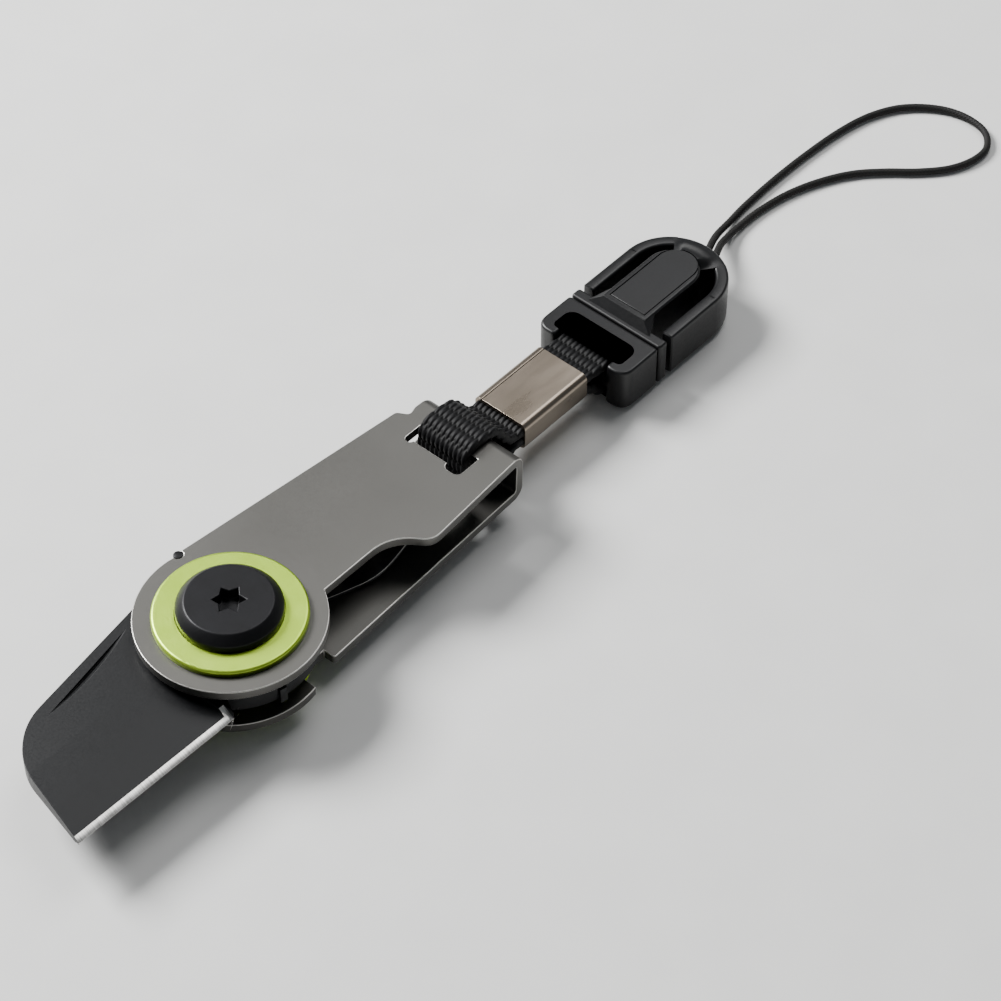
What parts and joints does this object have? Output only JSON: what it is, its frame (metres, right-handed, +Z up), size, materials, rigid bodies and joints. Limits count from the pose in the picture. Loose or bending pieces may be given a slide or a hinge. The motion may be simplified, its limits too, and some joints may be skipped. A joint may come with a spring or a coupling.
{
  "type": "keychain folding knife",
  "caption": "Small folding knife with a folded sheet-steel handle, a sheepsfoot blade on a large pivot screw, a webbing strap, a crimped clip, a side-release buckle and a wrist cord.",
  "frame": {"origin": "on the blade's pivot axis, on the flat underside of the pivot nut, which is the surface the knife lies on", "axes": "+X from the pivot along the open handle towards the strap, +Y towards the back of the open blade, +Z up through the pivot screw"},
  "size_m": [0.1333, 0.0197, 0.0103],
  "materials": {
    "handle_steel": "bead-blasted, satin",
    "coated_blade": "satin black coating, bare ground bevel",
    "black_steel": "black oxide, satin",
    "anodised_green": "yellow-green anodised, satin",
    "leaf_steel": "blackened, satin",
    "webbing_black": "woven",
    "clip_nickel": "satin nickel plate",
    "buckle_plastic": "satin moulded",
    "panel_plastic": "satin moulded",
    "cord_black": "braided"
  },
  "bodies": {
    "handle": {"handle_frame": "handle_steel", "pivot_screw": "black_steel", "pivot_nut": "black_steel", "washer_upper": "anodised_green", "washer_lower": "anodised_green", "bearing_upper": "anodised_green", "bearing_lower": "anodised_green", "stop_pin": "black_steel", "leaf_spring": "leaf_steel", "webbing_anchor": "webbing_black"},
    "blade": {"blade": "coated_blade"},
    "strap": {"webbing_strap": "webbing_black", "strap_clip": "clip_nickel"},
    "buckle_strap_half": {"buckle_loop": "buckle_plastic"},
    "buckle_cord_half": {"buckle_housing": "buckle_plastic", "buckle_panel": "panel_plastic", "cord_knot": "cord_black", "wrist_cord": "cord_black"},
    "arm_left": {"release_arm_left": "buckle_plastic"},
    "arm_right": {"release_arm_right": "buckle_plastic"}
  },
  "joints": [
    {"name": "blade_pivot", "type": "hinge", "parent": "handle", "child": "blade", "pos_m": [0, 0, 0], "axis": [0, 0, 1], "range_deg": [0, 174], "deforming": ["leaf_spring"]},
    {"name": "strap_swing", "type": "hinge", "parent": "handle", "child": "strap", "pos_m": [0.0353, -0.0001, 0.0044], "axis": [0, 1, 0], "range_deg": [-60, 60]},
    {"name": "buckle_swing", "type": "hinge", "parent": "strap", "child": "buckle_strap_half", "pos_m": [0.0496, -0.0001, 0.003], "axis": [0, 1, 0], "range_deg": [-60, 60]},
    {"name": "buckle_release", "type": "slide", "parent": "buckle_strap_half", "child": "buckle_cord_half", "axis": [1, 0, 0], "range_m": [0, 0.008]},
    {"name": "arm_left_squeeze", "type": "hinge", "parent": "buckle_cord_half", "child": "arm_left", "pos_m": [0.063, 0.00502, 0.003], "axis": [0, 0, 1], "range_deg": [0, 7], "stiffness_Nm_per_rad": 0.01},
    {"name": "arm_right_squeeze", "type": "hinge", "parent": "buckle_cord_half", "child": "arm_right", "pos_m": [0.063, -0.00522, 0.003], "axis": [0, 0, -1], "range_deg": [0, 7], "stiffness_Nm_per_rad": 0.01}
  ]
}
